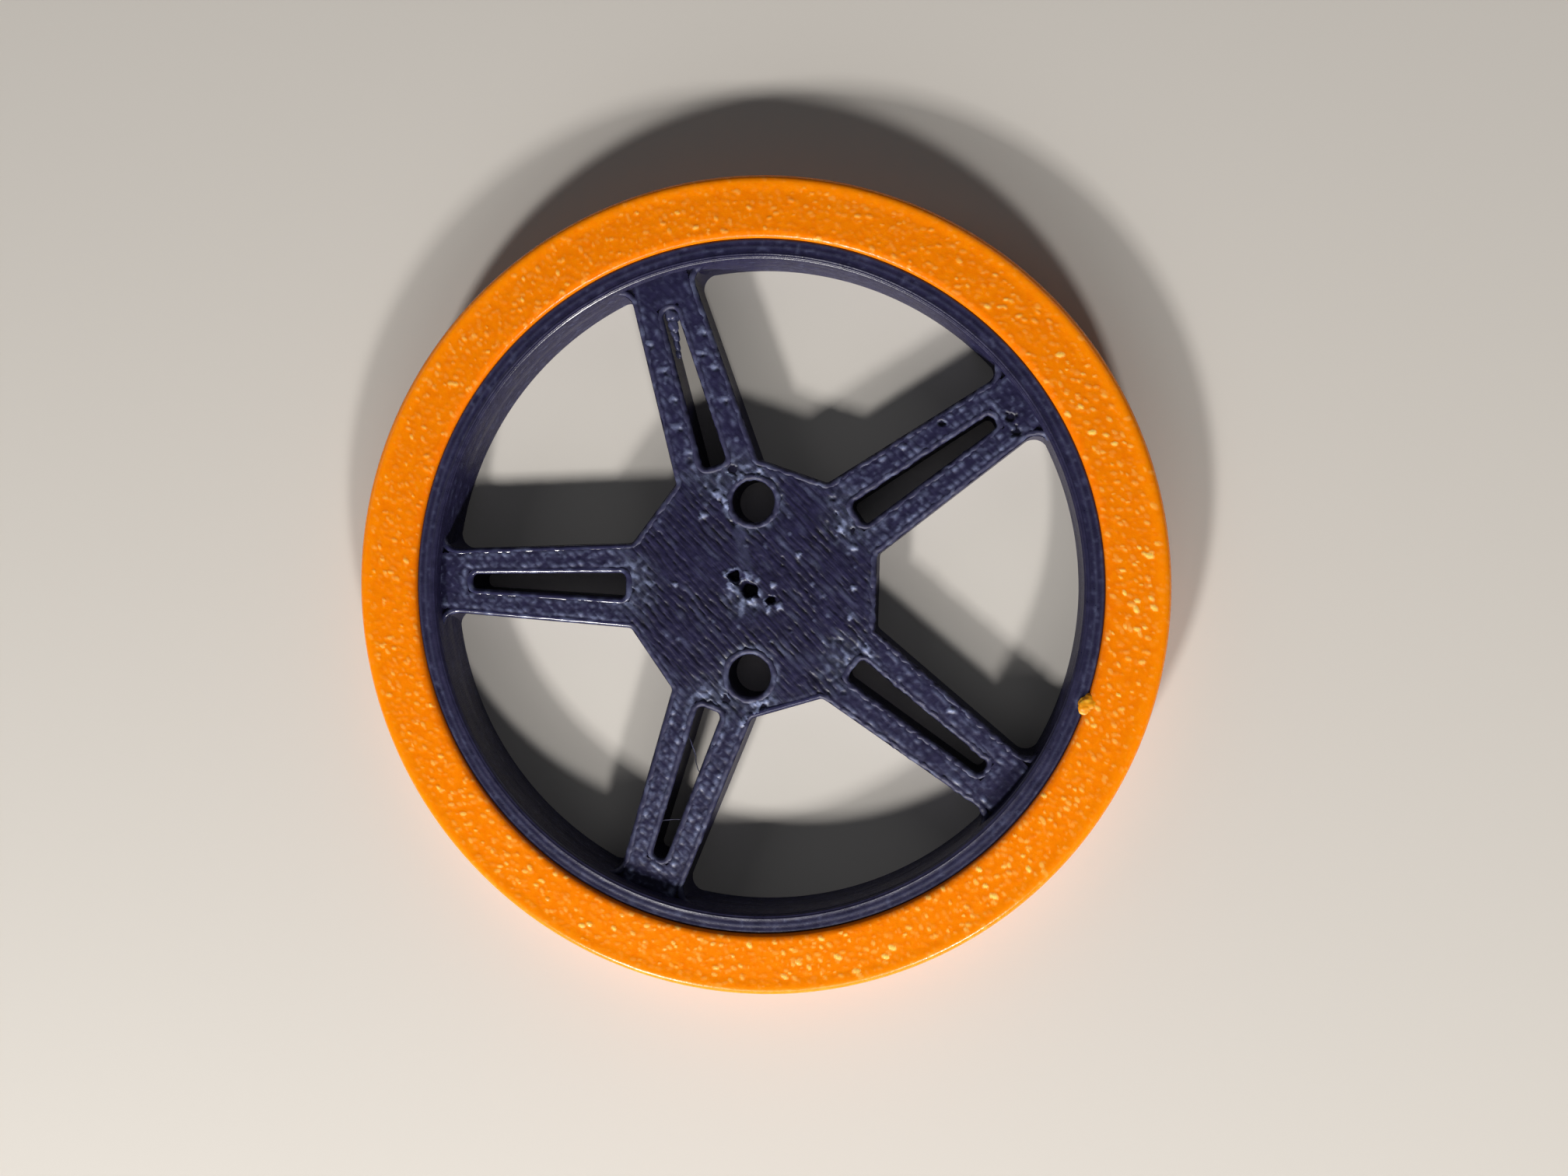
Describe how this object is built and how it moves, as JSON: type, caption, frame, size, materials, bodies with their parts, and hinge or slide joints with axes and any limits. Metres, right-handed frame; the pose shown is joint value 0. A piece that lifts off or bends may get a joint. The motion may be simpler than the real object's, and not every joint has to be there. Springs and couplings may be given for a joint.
{
  "type": "robot car wheel",
  "caption": "Thin drive wheel for a small robot car: a printed rim with slotted spokes and a two-hole hub, inside a soft printed tyre.",
  "frame": {"origin": "centre of the wheel on its back face, the face that it lies on", "axes": "+Z along the wheel's axis, out of the front face; +Y through one of the two screw holes"},
  "size_m": [0.065, 0.065, 0.0054],
  "materials": {
    "rim_plastic": "printed, semi-matt navy",
    "tyre_rubber": "printed flexible filament, orange, with a plate texture on its face"
  },
  "bodies": {
    "root": {"rim": "rim_plastic", "tyre": "tyre_rubber"}
  },
  "joints": []
}
